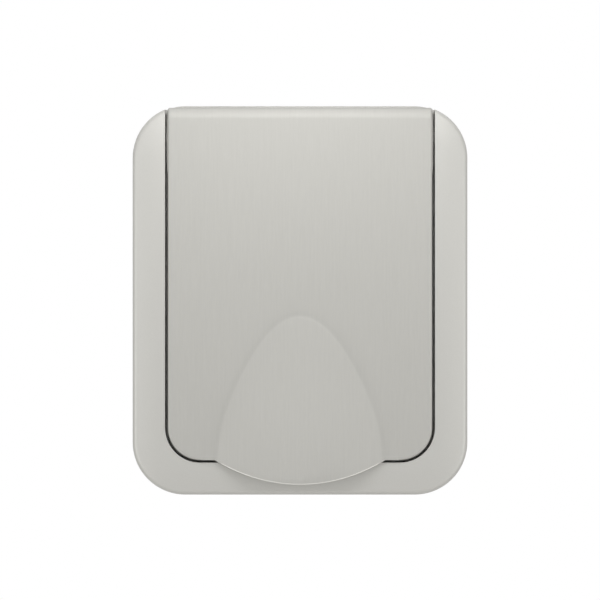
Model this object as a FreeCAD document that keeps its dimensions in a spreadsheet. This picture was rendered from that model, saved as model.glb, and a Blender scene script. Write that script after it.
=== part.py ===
import FreeCAD, Part
import math
import os
import re
import Sketcher
from FreeCAD import Vector

# Flush-mounted weatherproof socket with a spring-loaded lid, in millimetres.
# X runs to the right, Y into the wall, Z up. The wall plane is Y = 0 and the origin is on it,
# behind the middle of the cover frame. "Front" lengths are measured out of the wall, so a
# front length f lies at Y = -f, and what is sunk in the wall box has negative front lengths.

SIZES = [
    ("plate_width", 86.0, "cover frame, overall width"),
    ("plate_height", 100.0, "cover frame, overall height"),
    ("plate_corner", 13.5, "outer corner radius of the frame"),
    ("frame_front", 15.0, "front of the frame beside the lid, out of the wall"),
    ("frame_wall", 2.2, "side walls of the frame"),
    ("frame_skin", 2.3, "front strips of the frame, thickness"),
    ("slope_width", 5.6, "sloping outer part of the front strips"),
    ("slope_drop", 0.8, "how far that slope falls towards the edge"),
    ("slope_blend", 24.0, "large radius that joins slope and flat"),
    ("edge_round", 1.3, "outer edge of the front strips"),
    ("strip_bottom", 8.26, "strip of frame below the lid opening"),
    ("opening_corner", 9.0, "lower corner radius of the lid opening"),
    ("tray_front", 6.0, "front of the tray behind the lid"),
    ("tray_thickness", 1.8, "tray thickness"),
    ("tray_hole_play", 0.2, "hole in the tray, round the clips"),
    ("rib_half_length", 12.0, "two ribs behind the tray, half their length"),
    ("rib_thickness", 1.6, "ribs behind the tray"),
    ("rib_gap", 1.4, "between the cup of the base and a rib"),
    ("gasket_thickness", 0.8, "wall gasket, pressed"),
    ("gasket_width", 4.0, "wall gasket, width of its band"),
    ("gasket_inset", 0.6, "wall gasket, from the edge of the frame"),
    ("strip_side", 8.35, "strips of frame beside the lid opening"),
    ("lid_width", "=plate_width - (strip_side + lid_side_gap) * 2", "lid, overall width"),
    ("lid_side_gap", 0.75, "gap between lid and frame at each side"),
    ("lid_bottom_gap", 0.67, "gap between lid and frame at the bottom"),
    ("lid_top_gap", 0.6, "frame that shows above the lid"),
    ("lid_proud", 0.9, "lid front stands before the frame front"),
    ("lid_skin", 1.8, "lid wall"),
    ("lid_corner", 8.3, "lower corner radius of the lid"),
    ("lid_edge_round", 0.5, "front edges of the lid"),
    ("lid_top_round", 3.0, "rounding of the lid's top edge"),
    ("lid_seat_depth", 0.5, "ring on the lid's inside that holds the seal"),
    ("lid_seat_band", 1.6, "that ring, beyond the rim of the recess at both sides"),
    ("lid_rear", 7.8, "rear edge of the lid's side walls, out of the wall"),
    ("cheek_length", 16.5, "hinge cheeks, down from the lid's top"),
    ("cheek_thickness", 2.65, "hinge cheeks, thickness"),
    ("cheek_proud", 0.15, "cheeks stand beside the lid's side walls"),
    ("arch_height", 3.6, "arch, height over the lid at the bottom edge"),
    ("arch_start", 0.5, "how steeply the arch begins at its top, as a share of its mean slope"),
    ("arch_margin", 12.6, "from the arch's foot to the lid's side, at the bottom edge"),
    ("arch_half_width", "=lid_width / 2 - arch_margin", "arch, half its width at the bottom edge"),
    ("arch_length", 37.1, "arch, from its top to the lid's bottom edge"),
    ("arch_softness", 0.25, "softening of the arch's foot"),
    ("tongue_radius", 41.8, "finger tongue, radius of its edge"),
    ("tongue_side", 0.6, "finger tongue, ends beside the arch's foot"),
    ("tongue_half", "=arch_half_width + tongue_side", "finger tongue, half its width"),
    (
        "tongue_reach", "=tongue_radius - sqrt(tongue_radius^2 - tongue_half^2)",
        "finger tongue, below the lid's bottom edge",
    ),
    ("tongue_gap", 0.3, "finger tongue, clear of the frame at its ends"),
    ("hinge_front", 10.9, "hinge axis, out of the wall"),
    ("hinge_drop", 5.5, "hinge axis, below the top of the frame"),
    ("pin_radius", 1.25, "hinge pin"),
    ("pin_play", 0.05, "running clearance of the lid on the pin"),
    ("pin_seat_play", 0.02, "clearance of the pin in the lugs"),
    ("pin_inset", 0.4, "pin ends, inside the cheeks"),
    ("pin_chamfer", 0.3, "pin ends"),
    ("trough_play", 0.34, "clearance round the turning top of the lid"),
    ("trough_floor", 1.5, "wall behind the trough"),
    ("lug_thickness", 3.6, "hinge lugs of the frame"),
    ("lug_gap", 0.5, "between a lug and the lid's cheek"),
    ("lug_radius", 2.6, "eye of a lug"),
    ("neck_rear", 1.0, "neck of a lug, behind the hinge axis"),
    ("neck_thickness", 2.4, "neck of a lug, front to rear at its bend"),
    ("neck_foot", 4.6, "foot of a lug on the tray, up and down"),
    ("neck_gap", 0.3, "between the lug's foot and the trough"),
    ("spring_wire", 0.25, "lid spring, radius of the wire"),
    ("spring_turns", 5, "lid spring, number of turns"),
    ("spring_pitch", 0.62, "lid spring, from turn to turn"),
    ("spring_coil", 1.75, "lid spring, radius of the coil's middle line"),
    ("spring_gap", 0.3, "lid spring, from the lug"),
    ("spring_hook", 2.6, "lid spring, end of the leg behind the lug"),
    ("spring_touch", 0.1, "lid spring, legs clear of lid and lug"),
    ("flange_margin", 5.65, "centre plate, from its flange to the side of the opening"),
    (
        "flange_width", "=lid_width + (lid_side_gap - flange_margin) * 2",
        "centre plate, width and height of its flange",
    ),
    ("flange_corner", 6.0, "centre plate, flange corners"),
    ("flange_thickness", 1.8, "centre plate, flange"),
    ("seal_thickness", 0.6, "seal under the flange"),
    ("seal_inset", 0.8, "that seal, behind the edge of the flange"),
    ("seal_band", 2.6, "that seal, width of its band"),
    ("lid_seal_gap", 0.3, "lid seal, before the rim of the recess"),
    ("lid_seal_foot", 1.2, "lid seal, foot beside the rim"),
    ("lid_seal_lip", 0.2, "lid seal, lip beside the rim"),
    ("soft_round", 0.4, "small roundings of seals and screws"),
    ("collar_height", 2.2, "rim of the recess before the flange"),
    ("recess_radius", 19.6, "plug recess"),
    ("recess_depth", 17.5, "plug recess, rim to floor"),
    ("recess_wall", 1.8, "wall of the recess"),
    ("floor_thickness", 2.0, "floor of the recess"),
    ("rim_bevel", 0.5, "bevels of the rim, of the flange and of the rear cover"),
    ("skirt_thickness", 1.4, "round wall that carries the shutter's cover"),
    ("guide_width", 5.0, "guide ribs in the recess"),
    ("guide_height", 2.0, "guide ribs, inwards"),
    ("guide_short", 2.0, "guide ribs end this far behind the rim"),
    ("pin_spacing", 19.0, "between the two contact holes"),
    ("contact_hole", 2.7, "contact hole radius"),
    ("contact_lead", 0.4, "lead-in chamfer of the contact holes"),
    ("window_width", 5.2, "windows for the earth clips"),
    ("boss_radius", 3.5, "boss that the shutter turns on"),
    ("screw_sunk", 1.2, "centre screw, head below the recess floor"),
    ("screw_slot_length", 1.9, "cross slot, half its length"),
    ("screw_slot_width", 0.35, "cross slot, half its width"),
    ("screw_slot_depth", 0.8, "cross slot, depth"),
    ("screw_head", 3.0, "centre screw, head radius"),
    ("screw_radius", 1.5, "centre screw, shank radius"),
    ("screw_length", 13.0, "centre screw, under the head"),
    ("screw_play", 0.15, "centre screw in its holes"),
    ("shutter_radius", 13.0, "shutter disc"),
    ("shutter_thickness", 2.4, "shutter disc"),
    ("shutter_gap", 0.3, "before and behind the shutter"),
    ("shutter_play", 0.05, "running clearance of the shutter on its boss"),
    ("shutter_turn", 38.0, "angle from closed to open"),
    ("shutter_window", 2.9, "openings in the shutter"),
    ("shutter_lead", 0.4, "chamfer of the openings in the shutter"),
    ("shutter_room", 1.7, "room for the spring round the boss"),
    ("shutter_room_depth", 1.2, "that room, depth"),
    ("shutter_wire", 0.22, "shutter spring, radius of the wire"),
    ("shutter_pitch", 0.5, "shutter spring, from turn to turn"),
    ("shutter_turns", 1.5, "shutter spring, number of turns"),
    ("shutter_coil", 1.1, "shutter spring, outside the boss"),
    ("cover_radius", 15.6, "plate that holds the shutter"),
    ("cover_thickness", 1.2, "plate that holds the shutter"),
    ("cover_hole_play", 0.3, "contact holes of that plate, wider by"),
    ("strap_thickness", 0.8, "earth strap and contact strips"),
    ("strap_width", 6.0, "earth strap across the base"),
    ("clip_width", 4.0, "side clips of the earth strap"),
    ("clip_reach", 1.7, "clips stand this far into the recess"),
    ("clip_gap", 0.4, "between clip and recess wall"),
    ("ring_margin", 7.5, "support ring, inside the edge of the frame"),
    ("ring_width", "=plate_width - ring_margin * 2", "support ring, width and height"),
    ("ring_corner", 6.0, "support ring, corners"),
    ("ring_thickness", 1.2, "support ring"),
    ("slot_inset", 5.5, "screw slots, from the side of the ring to their middle"),
    ("slot_spacing", "=ring_width - slot_inset * 2", "between the two screw slots"),
    ("slot_half_width", 2.05, "screw slots, half width"),
    ("slot_length", 8.0, "screw slots, end to end"),
    ("cup_wall", 1.6, "wall of the base round the recess"),
    ("base_width", 46.0, "contact base, width of the block"),
    ("base_height", 42.0, "contact base, height of the block"),
    ("base_corner", 8.0, "contact base, corners of the block"),
    ("base_rear", 26.2, "rear of the contact base, behind the wall plane"),
    ("deck_thickness", 2.6, "front wall of the contact base"),
    ("rear_cover_thickness", 1.8, "cover of the contact chambers"),
    ("rivet_place", 18.0, "rivets, across and up from the middle"),
    ("rivet_radius", 1.5, "rivet shank"),
    ("rivet_play", 0.02, "rivets and centre screw in the base"),
    ("rivet_head", 1.0, "rivet head, beyond the shank"),
    ("rivet_head_height", 0.7, "rivet head, height"),
    ("rivet_length", 10.0, "rivets, behind the wall plane"),
    ("rivet_wall", 1.3, "wall of the base round a rivet"),
    ("sleeve_radius", 3.0, "contact sleeves, outside"),
    ("sleeve_bore", 2.35, "contact sleeves, inside"),
    ("clamp_width", 6.6, "wire clamps, across"),
    ("clamp_height", 7.6, "wire clamps, up"),
    ("clamp_depth", 8.0, "wire clamps, front to rear"),
    ("clamp_across", 12.2, "line and neutral clamps, across from the middle"),
    ("clamp_edge", 7.0, "all clamps, from the top or bottom of the block"),
    ("clamp_up", "=base_height / 2 - clamp_edge", "all clamps, up or down from the middle"),
    ("clamp_play", 0.4, "clamps, clear of their chamber"),
    ("sleeve_room", 1.1, "chambers, clear of the sleeves"),
    ("slot_split", 0.5, "split of the sleeves, half its width"),
    ("wire_radius", 1.7, "wire holes in the clamps"),
    ("terminal_radius", 1.75, "terminal screws, shank"),
    ("terminal_head", 2.8, "terminal screws, head"),
    ("terminal_gap", 0.3, "terminal screws, clear of the base"),
    ("terminal_slot", 0.45, "slot of the terminal screws, half its width"),
    ("tab_half_width", 2.5, "tab of the earth strap, half its width"),
    ("entry_play", 0.5, "wire entries, wider than the wire holes"),
]
NAMES = {name for name, size, meaning in SIZES}

doc = FreeCAD.newDocument("weatherproof_socket")
sheet = doc.addObject("Spreadsheet::Sheet", "sizes")
for row, (name, size, meaning) in enumerate(SIZES, 1):
    sheet.set(f"A{row}", meaning)
    sheet.setAlias(f"B{row}", name)
for row, (name, size, meaning) in enumerate(SIZES, 1):
    sheet.set(f"B{row}", str(size))
doc.recompute()


def linked(text):
    """An expression in which every size is read from the sheet."""
    return re.sub(r"[a-z][a-z_]+", lambda word: f"sizes.{word[0]}" if word[0] in NAMES else word[0], text)


def number(text):
    """The present value of an expression of sizes."""
    return float(sheet.evalExpression(text))


def bind(item, links):
    for setting, text in links.items():
        item.setExpression(setting, linked(text))


# Places that several pieces share, as expressions of the driving sizes

TOP = "(plate_height / 2)"
OPENING_SIDE = "(lid_width / 2 + lid_side_gap)"
OPENING_BOTTOM = "(strip_bottom - plate_height / 2)"
LID_FRONT = "(frame_front + lid_proud)"
LID_INSIDE = f"({LID_FRONT} - lid_skin)"
LID_SIDE = "(lid_width / 2)"
LID_TOP = f"({TOP} - lid_top_gap)"
LID_BOTTOM = f"({OPENING_BOTTOM} + lid_bottom_gap)"
HINGE_UP = f"({TOP} - hinge_drop)"
SWEEP = (
    f"(sqrt(({LID_FRONT} - lid_top_round - hinge_front)^2"
    f" + ({LID_TOP} - lid_top_round - {HINGE_UP})^2) + lid_top_round)"
)
TROUGH = f"({SWEEP} + trough_play)"
TRAY_REAR = "(tray_front - tray_thickness)"
SEAL_FRONT = "(tray_front + seal_thickness)"
FLANGE_FRONT = f"({SEAL_FRONT} + flange_thickness)"
RIM = f"({FLANGE_FRONT} + collar_height)"
RECESS_FLOOR = f"({RIM} - recess_depth)"
FLOOR_REAR = f"({RECESS_FLOOR} - floor_thickness)"
RECESS_OUTSIDE = "(recess_radius + recess_wall)"
SHUTTER_FRONT = f"({FLOOR_REAR} - shutter_gap)"
SHUTTER_REAR = f"({SHUTTER_FRONT} - shutter_thickness)"
COVER_FRONT = f"({SHUTTER_REAR} - shutter_gap)"
COVER_REAR = f"({COVER_FRONT} - cover_thickness)"
DECK = f"({COVER_REAR} - strap_thickness)"
DECK_REAR = f"({DECK} - deck_thickness)"
CLIP_INSIDE = f"({RECESS_OUTSIDE} + clip_gap)"
CLIP_OUTSIDE = f"({CLIP_INSIDE} + strap_thickness)"
CUP_INSIDE = f"({CLIP_OUTSIDE} + clip_gap)"
CUP_OUTSIDE = f"({CUP_INSIDE} + cup_wall)"
BASE_REAR = "(-base_rear)"
LUG_OUTSIDE = "(lid_width / 2 + cheek_proud - cheek_thickness - lug_gap)"
LUG_INSIDE = f"({LUG_OUTSIDE} - lug_thickness)"


class Piece:
    """One moulded, turned or stamped part, built up in a body of its own."""

    def __init__(self, name):
        self.body = doc.addObject("PartDesign::Body", name)
        self.body.Label = name
        self.count = 0

    def named(self, kind):
        self.count += 1
        return f"{self.body.Name}_{kind}{self.count}"

    def sketch(self, plane, lift):
        """An empty sketch, parallel to one of the body's origin planes."""
        item = self.body.newObject("Sketcher::SketchObject", self.named("sketch"))
        origin = next(o for o in self.body.Origin.OriginFeatures if o.Role == plane)
        item.AttachmentSupport = [(origin, "")]
        item.MapMode = "FlatFace"
        bind(item, {".AttachmentOffset.Base.z": lift})
        return item

    def outline(self, plane, lift, corners):
        """A closed outline through corners, each tied to the sheet.

        A corner with a third value starts an arc of that radius, which bulges to the left of
        the way from this corner to the next.
        """
        return add_outline(self.sketch(plane, lift), corners)

    def circles(self, plane, lift, rounds):
        item = self.sketch(plane, lift)
        for across, up, radius in rounds:
            add_circle(item, across, up, radius)
        return item

    def add(self, kind, **settings):
        item = self.body.newObject(f"PartDesign::{kind}", self.named(kind.lower()))
        for setting, value in settings.items():
            setattr(item, setting, value)
        doc.recompute()
        return item

    def pad(self, profile, length, middle=False, back=False):
        item = self.add("Pad", Profile=profile, Midplane=middle, Reversed=back)
        bind(item, {"Length": length})
        doc.recompute()

    def pocket(self, profile, length, middle=False, back=False):
        item = self.add("Pocket", Profile=profile, Midplane=middle, Reversed=back)
        bind(item, {"Length": length})
        doc.recompute()

    def turn(self, corners, kind="Revolution"):
        """A shape turned about the Y axis: corners are (radius, front length)."""
        profile = self.outline("XY_Plane", "0", [(across, f"-({front})") for across, front in corners])
        self.add(kind, Profile=profile, ReferenceAxis=(profile, ["V_Axis"]))

    def edges(self, wanted):
        shape = self.body.Tip.Shape
        return [f"Edge{n}" for n, edge in enumerate(shape.Edges, 1) if wanted(edge)]

    def fillet(self, radius, wanted):
        names = self.edges(wanted)
        item = self.add("Fillet", Base=(self.body.Tip, names))
        bind(item, {"Radius": radius})
        doc.recompute()

    def chamfer(self, size, wanted):
        names = self.edges(wanted)
        item = self.add("Chamfer", Base=(self.body.Tip, names))
        bind(item, {"Size": size})
        doc.recompute()


def add_outline(item, corners):
    places = [Vector(number(corner[0]), number(corner[1]), 0) for corner in corners]
    total = len(corners)
    ends = []
    for n, corner in enumerate(corners):
        start, stop = places[n], places[(n + 1) % total]
        if len(corner) == 2:
            line = item.addGeometry(Part.LineSegment(start, stop))
            ends.append((line, 1, 2))
        else:
            radius = number(corner[2])
            chord = stop - start
            middle = (start + stop) / 2
            left = Vector(-chord.y, chord.x, 0).normalize()
            centre = middle - left * math.sqrt(radius**2 - (chord.Length / 2) ** 2)
            first = math.atan2(stop.y - centre.y, stop.x - centre.x)
            last = math.atan2(start.y - centre.y, start.x - centre.x)
            circle = Part.Circle(centre, Vector(0, 0, 1), radius)
            arc = item.addGeometry(Part.ArcOfCircle(circle, first, last))
            ends.append((arc, 2, 1))
            rule = item.addConstraint(Sketcher.Constraint("Radius", arc, radius))
            item.renameConstraint(rule, f"radius{n}")
            item.setExpression(f"Constraints.radius{n}", linked(corner[2]))
    for n in range(total):
        before, here = ends[n - 1], ends[n]
        item.addConstraint(Sketcher.Constraint("Coincident", before[0], before[2], here[0], here[1]))
    for n, corner in enumerate(corners):
        place_point(item, ends[n][0], ends[n][1], corner[0], corner[1], f"corner{n}")
    return item


def place_point(item, geometry, end, across, up, name):
    for kind, text in (("DistanceX", across), ("DistanceY", up)):
        rule = item.addConstraint(Sketcher.Constraint(kind, -1, 1, geometry, end, number(text)))
        label = f"{name}_{kind[-1].lower()}"
        item.renameConstraint(rule, label)
        item.setExpression(f"Constraints.{label}", linked(text))


def add_circle(item, across, up, radius):
    centre = Vector(number(across), number(up), 0)
    circle = item.addGeometry(Part.Circle(centre, Vector(0, 0, 1), number(radius)))
    place_point(item, circle, 3, across, up, f"centre{circle}")
    rule = item.addConstraint(Sketcher.Constraint("Radius", circle, number(radius)))
    item.renameConstraint(rule, f"radius{circle}")
    item.setExpression(f"Constraints.radius{circle}", linked(radius))


def rectangle(left, right, bottom, top):
    return [(left, bottom), (left, top), (right, top), (right, bottom)]


def rounded(half_width, half_height, radius):
    """A rectangle about the middle with four round corners."""
    side, above = f"({half_width} - ({radius}))", f"({half_height} - ({radius}))"
    return [
        (f"-({half_width})", f"-{above}"),
        (f"-({half_width})", above, radius),
        (f"-{side}", half_height),
        (side, half_height, radius),
        (half_width, above),
        (half_width, f"-{above}", radius),
        (side, f"-({half_height})"),
        (f"-{side}", f"-({half_height})", radius),
    ]


def round_bottomed(half_width, bottom, top, radius):
    """A rectangle with square corners above and round ones below."""
    side, above = f"({half_width} - ({radius}))", f"({bottom} + ({radius}))"
    return [
        (f"-({half_width})", above),
        (f"-({half_width})", top),
        (half_width, top),
        (half_width, above, radius),
        (side, bottom),
        (f"-{side}", bottom, radius),
    ]


def mirrored(corners):
    """The same outline on the other side of the vertical axis."""
    return [(f"-({across})", up) for across, up in reversed(corners)]


def lies_at(edge, **places):
    """True if the whole edge lies at the given x, front length f or z, to a hundredth."""
    box = edge.BoundBox
    spans = {
        "x": (box.XMin, box.XMax),
        "f": (-box.YMax, -box.YMin),
        "z": (box.ZMin, box.ZMax),
    }
    return all(
        abs(spans[key][0] - number(text)) < 0.01 and abs(spans[key][1] - number(text)) < 0.01
        for key, text in places.items()
    )


def runs_deep(edge):
    """True for a straight edge along the Y axis."""
    box = edge.BoundBox
    return box.YLength > 0.05 and box.XLength < 0.001 and box.ZLength < 0.001


def at_side(edge, text, **places):
    return lies_at(edge, x=text, **places) or lies_at(edge, x=f"-({text})", **places)


def block(name, left, right, front, rear, bottom, top):
    """A plain box between two sides, two front lengths and two heights."""
    item = doc.addObject("Part::Box", name)
    bind(item, {
        "Length": f"({right}) - ({left})",
        "Width": f"({front}) - ({rear})",
        "Height": f"({top}) - ({bottom})",
        ".Placement.Base.x": left,
        ".Placement.Base.y": f"-({front})",
        ".Placement.Base.z": bottom,
    })
    doc.recompute()
    return item


def combine(kind, name, first, others):
    """A cut, or a fuse of many, with the first piece as its base."""
    if kind == "Cut":
        tool = others[0]
        if len(others) > 1:
            tool = doc.addObject("Part::MultiFuse", f"{name}_tools")
            tool.Shapes = others
        item = doc.addObject("Part::Cut", name)
        item.Base = first
        item.Tool = tool
    else:
        item = doc.addObject(f"Part::Multi{kind}", name)
        item.Shapes = [first] + others
    doc.recompute()
    return item


# Wall gasket: a flat foam band that follows the outline of the cover frame

def make_wall_gasket():
    piece = Piece("wall_gasket")
    half = "(plate_width / 2 - gasket_inset)"
    tall = f"({TOP} - gasket_inset)"
    corner = "(plate_corner - gasket_inset)"
    piece.pad(piece.outline("XZ_Plane", "0", rounded(half, tall, corner)), "gasket_thickness")
    inside = rounded(f"({half} - gasket_width)", f"({tall} - gasket_width)", f"({corner} - gasket_width)")
    piece.pocket(piece.outline("XZ_Plane", "gasket_thickness", inside), "gasket_thickness")
    return piece.body


# Cover frame: one moulding with gently crowned strips round the lid, open to the top edge,
# a tray behind the lid, a trough in which the lid's top turns, and two hinge lugs

def make_cover_frame():
    piece = Piece("cover_frame")
    outside = rounded("(plate_width / 2)", TOP, "plate_corner")
    piece.pad(
        piece.outline("XZ_Plane", "gasket_thickness", outside), "frame_front - gasket_thickness"
    )
    crown_front(piece)
    hollow_frame(piece)
    open_frame(piece)
    add_lugs(piece)
    return piece.body


def crown_front(piece):
    """Slopes the outer part of the strips a little and rounds both of its edges."""
    slope = piece.add(
        "Chamfer",
        Base=(piece.body.Tip, piece.edges(lambda edge: lies_at(edge, f="frame_front"))),
        ChamferType="Two distances",
    )
    bind(slope, {"Size": "slope_width", "Size2": "slope_drop"})
    doc.recompute()
    rim = "(frame_front - slope_drop)"
    if not piece.edges(lambda edge: lies_at(edge, f=rim)):
        slope.FlipDirection = True
        doc.recompute()
    piece.fillet("edge_round", lambda edge: lies_at(edge, f=rim))
    piece.fillet("slope_blend", lambda edge: lies_at(edge, f="frame_front"))


def hollow_frame(piece):
    """Takes out the space behind the tray and the channel behind the strips."""
    half = "(plate_width / 2 - frame_wall)"
    tall = f"({TOP} - frame_wall)"
    corner = "(plate_corner - frame_wall)"
    space = piece.outline("XZ_Plane", TRAY_REAR, rounded(half, tall, corner))
    piece.pocket(space, f"{TRAY_REAR} - gasket_thickness")
    channel_front = "(frame_front - slope_drop - frame_skin)"
    side = f"({OPENING_SIDE} + frame_wall)"
    bottom = f"({OPENING_BOTTOM} - frame_wall)"
    top = f"({HINGE_UP} - {TROUGH})"
    outer_side = f"({half} - {corner})"
    outer_low = f"(-({tall} - {corner}))"
    inner_corner = "opening_corner"
    channel = [
        (f"-{half}", outer_low),
        (f"-{half}", top),
        (f"-{side}", top),
        (f"-{side}", f"{bottom} + {inner_corner}"),
        (f"-({side} - {inner_corner})", bottom),
        (f"({side} - {inner_corner})", bottom),
        (side, f"{bottom} + {inner_corner}"),
        (side, top),
        (half, top),
        (half, outer_low, corner),
        (outer_side, f"-{tall}"),
        (f"-{outer_side}", f"-{tall}", corner),
    ]
    piece.pocket(piece.outline("XZ_Plane", channel_front, channel), f"{channel_front} - {TRAY_REAR}")


def open_frame(piece):
    """Cuts the opening for the lid, the trough and the hole for the plug recess."""
    bed_bottom = f"({HINGE_UP} - {TROUGH} - trough_floor / 2)"
    bed_rear = f"(hinge_front - {TROUGH} - trough_floor)"
    bed = piece.outline("YZ_Plane", "0", [
        ("-tray_front", bed_bottom),
        (f"-{TRAY_REAR}", bed_bottom),
        (f"-{bed_rear}", f"{HINGE_UP} - {TROUGH} / 2"),
        (f"-{bed_rear}", f"{TOP} - frame_wall / 2"),
        ("-tray_front", f"{TOP} - frame_wall / 2"),
    ])
    piece.pad(bed, f"{OPENING_SIDE} * 2", middle=True)
    opening = round_bottomed(OPENING_SIDE, OPENING_BOTTOM, f"({TOP} + 10)", "opening_corner")
    piece.pocket(
        piece.outline("XZ_Plane", "frame_front + 1", opening), "frame_front + 1 - tray_front"
    )
    piece.pocket(
        piece.circles("YZ_Plane", "0", [("-hinge_front", HINGE_UP, TROUGH)]),
        f"{OPENING_SIDE} * 2",
        middle=True,
    )
    hole = f"({CUP_INSIDE} + tray_hole_play)"
    piece.pocket(piece.circles("XZ_Plane", "tray_front", [("0", "0", hole)]), "tray_thickness")
    rib_inside = f"({CUP_OUTSIDE} + rib_gap)"
    rib_outside = f"({rib_inside} + rib_thickness)"
    for low, high in ((rib_inside, rib_outside), (f"-{rib_outside}", f"-{rib_inside}")):
        rib = rectangle("-rib_half_length", "rib_half_length", low, high)
        piece.pad(piece.outline("XZ_Plane", "ring_thickness", rib), f"{TRAY_REAR} - ring_thickness")


def add_lugs(piece):
    """Two goose-necked lugs that hold the hinge pin clear of the turning lid."""
    rear = "(hinge_front - neck_rear)"
    foot_top = f"({HINGE_UP} - {TROUGH} - neck_gap)"
    front = "(hinge_front + lug_radius)"
    neck = [
        (f"-{front}", HINGE_UP),
        (f"-{front}", f"{foot_top} - neck_thickness"),
        ("-tray_front + 0.1", f"{foot_top} - neck_foot"),
        ("-tray_front + 0.1", foot_top),
        (f"-{rear}", foot_top),
        (f"-{rear}", HINGE_UP),
    ]
    for lift in (LUG_INSIDE, f"(-{LUG_OUTSIDE})"):
        piece.pad(piece.outline("YZ_Plane", lift, neck), "lug_thickness")
        eye = [("-hinge_front", HINGE_UP, "lug_radius")]
        piece.pad(piece.circles("YZ_Plane", lift, eye), "lug_thickness")
    bore = [("-hinge_front", HINGE_UP, "pin_radius + pin_seat_play")]
    piece.pocket(piece.circles("YZ_Plane", "0", bore), f"{LUG_OUTSIDE} * 2", middle=True)


GASKET = make_wall_gasket()
FRAME = make_cover_frame()


# Lid: a shallow shell with side walls and hinge cheeks; its lower front swells to an arch
# that runs out over the frame as the finger tongue

def make_lid_shell():
    piece = Piece("lid_shell")
    depth = f"{LID_FRONT} - lid_rear"
    outside = round_bottomed(LID_SIDE, LID_BOTTOM, LID_TOP, "lid_corner")
    piece.pad(piece.outline("XZ_Plane", "lid_rear", outside), depth)
    piece.fillet("lid_top_round", lambda edge: lies_at(edge, f=LID_FRONT, z=LID_TOP))
    piece.fillet("lid_edge_round", is_lid_front_edge)
    cheek_side = f"({LID_SIDE} + cheek_proud)"
    cheek_bottom = f"({LID_TOP} - cheek_length)"
    shoulder = f"({LID_FRONT} - lid_top_round)"
    cheek = [
        (f"-({LID_FRONT} - lid_edge_round - 0.2)", cheek_bottom),
        (f"-({LID_FRONT} - lid_edge_round - 0.2)", f"{LID_TOP} - lid_top_round - lid_edge_round"),
        (f"-({shoulder} - 0.2)", f"{LID_TOP} - lid_edge_round - 0.1"),
        ("-lid_rear", f"{LID_TOP} - lid_edge_round - 0.1"),
        ("-lid_rear", cheek_bottom),
    ]
    for lift in (f"{LID_SIDE} - 1", f"-{cheek_side}"):
        piece.pad(piece.outline("YZ_Plane", lift, cheek), "cheek_proud + 1")
    inside = f"({LID_SIDE} - lid_skin)"
    hollow = round_bottomed(
        inside, f"({LID_BOTTOM} + lid_skin)", cheek_bottom, "(lid_corner - lid_skin)"
    )
    piece.pocket(piece.outline("XZ_Plane", LID_INSIDE, hollow), f"{LID_INSIDE} - lid_rear")
    narrow = f"({cheek_side} - cheek_thickness)"
    hollow = rectangle(f"-{narrow}", narrow, f"{cheek_bottom} - 1", f"{LID_TOP} - lid_skin")
    piece.pocket(piece.outline("XZ_Plane", LID_INSIDE, hollow), f"{LID_INSIDE} - lid_rear")
    piece.fillet(
        "lid_top_round - lid_skin",
        lambda edge: lies_at(edge, f=LID_INSIDE, z=f"{LID_TOP} - lid_skin"),
    )
    bore = [("-hinge_front", HINGE_UP, "pin_radius + pin_play")]
    piece.pocket(piece.circles("YZ_Plane", "0", bore), f"{cheek_side} * 2", middle=True)
    return piece.body


def is_lid_front_edge(edge):
    """True for the lid's outer edges at the front, the sides of its top and its round corners."""
    box = edge.BoundBox
    if -box.YMax < number("lid_rear") + 0.1 and not runs_deep(edge):
        return False
    if lies_at(edge, z=f"{LID_TOP} - lid_top_round") or lies_at(edge, z=LID_TOP) and not runs_deep(edge):
        return False
    if runs_deep(edge):
        return lies_at(edge, z=LID_TOP)
    return lies_at(edge, f=LID_FRONT) or at_side(edge, LID_SIDE)


def arch_ridge(share):
    """Height of the arch along its middle, as a share: straight, then levelling out."""
    bend = 0.6
    slope = 1.22
    if share < bend:
        return slope * share
    drop = (share - bend) / (1 - bend)
    rise = 1 - slope * bend
    climb = slope * (1 - bend)
    if drop < 1:
        return slope * bend + climb * drop + (rise - climb) * drop**2
    return 1.0


def arch_swell(across, up):
    """How far the front of the lid swells out at a place, softened along the arch's foot."""
    height = number("arch_height")
    share = (number(LID_BOTTOM) + number("arch_length") - up) / number("arch_length")
    fall = height / number("arch_half_width") ** 2
    level = height * arch_ridge(share) - fall * across**2
    soft = number("arch_softness")
    if level <= -soft:
        return 0.0
    if level < soft:
        level = (level + soft) ** 2 / (4 * soft)
    start = number("arch_start")
    return level * (start + (1 - start) * max(share, 0) ** 2)


def spread(first, last, count):
    """Places of the control points of a cubic surface that runs evenly from first to last."""
    knots = [0, 0, 0] + list(range(count - 2)) + [count - 3] * 3
    means = [(knots[n + 1] + knots[n + 2] + knots[n + 3]) / 3 for n in range(count)]
    return [first + (last - first) * mean / (count - 3) for mean in means]


WINDOW_SIDE = "(lid_width / 2 - lid_corner - 0.1)"
WINDOW_TOP = f"({LID_BOTTOM} + arch_length + 6)"
WINDOW_BOTTOM = f"({LID_BOTTOM} - tongue_reach - 3)"


def arch_face(back):
    """The swollen front over a window of the lid, moved back by a given length."""
    columns = spread(-number(WINDOW_SIDE), number(WINDOW_SIDE), 31)
    rows = spread(number(WINDOW_BOTTOM), number(WINDOW_TOP), 33)
    front = number(LID_FRONT)
    poles = [[Vector(x, back - front - arch_swell(x, z), z) for z in rows] for x in columns]
    surface = Part.BSplineSurface()
    surface.buildFromPolesMultsKnots(
        poles,
        [4] + [1] * (len(columns) - 4) + [4],
        [4] + [1] * (len(rows) - 4) + [4],
        list(range(len(columns) - 2)),
        list(range(len(rows) - 2)),
        False,
        False,
        3,
        3,
    )
    return surface.toShape()


def swept_back(name, face, length):
    """A solid between a face and the same face moved straight back."""
    item = doc.addObject("Part::Feature", name)
    item.Shape = face.extrude(Vector(0, length, 0))
    item.Placement = FreeCAD.Placement()
    return item


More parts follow.
